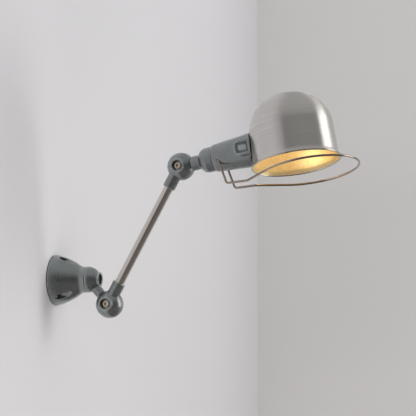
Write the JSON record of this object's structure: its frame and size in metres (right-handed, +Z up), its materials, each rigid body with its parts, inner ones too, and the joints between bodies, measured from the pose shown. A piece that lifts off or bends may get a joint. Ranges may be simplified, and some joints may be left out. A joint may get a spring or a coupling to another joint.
{
  "type": "articulating wall lamp",
  "caption": "Wall lamp with a bell-shaped base, two clamped ball knuckles on a tube arm, a domed metal shade and a wire guard loop.",
  "frame": {"origin": "centre of the base's back face, on the wall", "axes": "+X out of the wall, +Z up, so the arm's rest plane is XZ; the pictured side is -Y"},
  "size_m": [0.5101, 0.1596, 0.3522],
  "materials": {
    "painted_casting": "satin grey enamel on cast metal",
    "spun_steel": "brushed spun steel",
    "steel_tube": "satin steel",
    "bright_wire": "polished steel wire",
    "zinc_steel": "zinc plated",
    "dark_screw": "oiled steel",
    "brass": "turned brass",
    "nickel": "nickel plated",
    "black_rubber": "black rubber",
    "insulator": "moulded phenolic",
    "wire_jacket": "wire insulation",
    "terminal_white": "white thermoplastic",
    "switch_brown": "brown moulded plastic",
    "holder_black": "black thermoplastic",
    "opal_glass": "opal glass, warm white"
  },
  "bodies": {
    "wall_base": {"wall_bell": "painted_casting", "wall_gasket": "black_rubber", "back_plate": "zinc_steel", "wall_screws": "zinc_steel", "earth_screw": "zinc_steel", "terminal_block": "terminal_white", "base_wires": "wire_jacket", "contact_disc_base": "insulator", "contact_tracks_base": "brass", "spring_washer_base": "zinc_steel", "clamp_nut_base": "zinc_steel"},
    "link": {"link_casting": "painted_casting", "link_wires": "wire_jacket", "clamp_screw_base": "dark_screw", "brush_carrier_base": "insulator", "contact_brushes_base": "brass", "contact_disc_lower": "insulator", "contact_tracks_lower": "brass", "spring_washer_lower": "zinc_steel", "clamp_nut_lower": "zinc_steel"},
    "arm": {"arm_tube": "steel_tube", "lower_socket": "painted_casting", "upper_socket": "painted_casting", "arm_wires": "wire_jacket", "clamp_screw_lower": "dark_screw", "brush_carrier_lower": "insulator", "contact_brushes_lower": "brass", "clamp_screw_upper": "dark_screw", "brush_carrier_upper": "insulator", "contact_brushes_upper": "brass"},
    "neck": {"rear_cap": "painted_casting", "roll_nipple": "zinc_steel", "roll_washer": "zinc_steel", "roll_nut": "zinc_steel", "neck_wires": "wire_jacket", "contact_disc_upper": "insulator", "contact_tracks_upper": "brass", "spring_washer_upper": "zinc_steel", "clamp_nut_upper": "zinc_steel"},
    "head": {"lamp_housing": "painted_casting", "shade": "spun_steel", "shade_gasket": "black_rubber", "shade_screws": "zinc_steel", "guard_wire": "bright_wire", "lampholder": "holder_black", "lampholder_shell": "brass", "lampholder_contact": "brass", "holder_screws": "zinc_steel", "bulb_cap": "nickel", "bulb_glass": "opal_glass", "switch_body": "holder_black"},
    "rocker": {"switch_rocker": "switch_brown"}
  },
  "joints": [
    {"name": "base_swivel", "type": "hinge", "parent": "wall_base", "child": "link", "pos_m": [0.057, 0, 0], "axis": [1, 0, 0], "continuous": true},
    {"name": "lower_knuckle", "type": "hinge", "parent": "link", "child": "arm", "pos_m": [0.09395, 0, -0.04033], "axis": [0, 1, 0], "range_deg": [-24, 150]},
    {"name": "upper_knuckle", "type": "hinge", "parent": "arm", "child": "neck", "pos_m": [0.21592, 0, 0.1779], "axis": [0, 1, 0], "range_deg": [-130, 68]},
    {"name": "head_roll", "type": "hinge", "parent": "neck", "child": "head", "pos_m": [0.27488, 0, 0.18904], "axis": [0.9826, 0, 0.1857], "range_deg": [-165, 165]},
    {"name": "switch_rock", "type": "hinge", "parent": "head", "child": "rocker", "pos_m": [0.32694, -0.02404, 0.20167], "axis": [0.1845, -0.1132, -0.9763], "range_deg": [0, 14]}
  ]
}
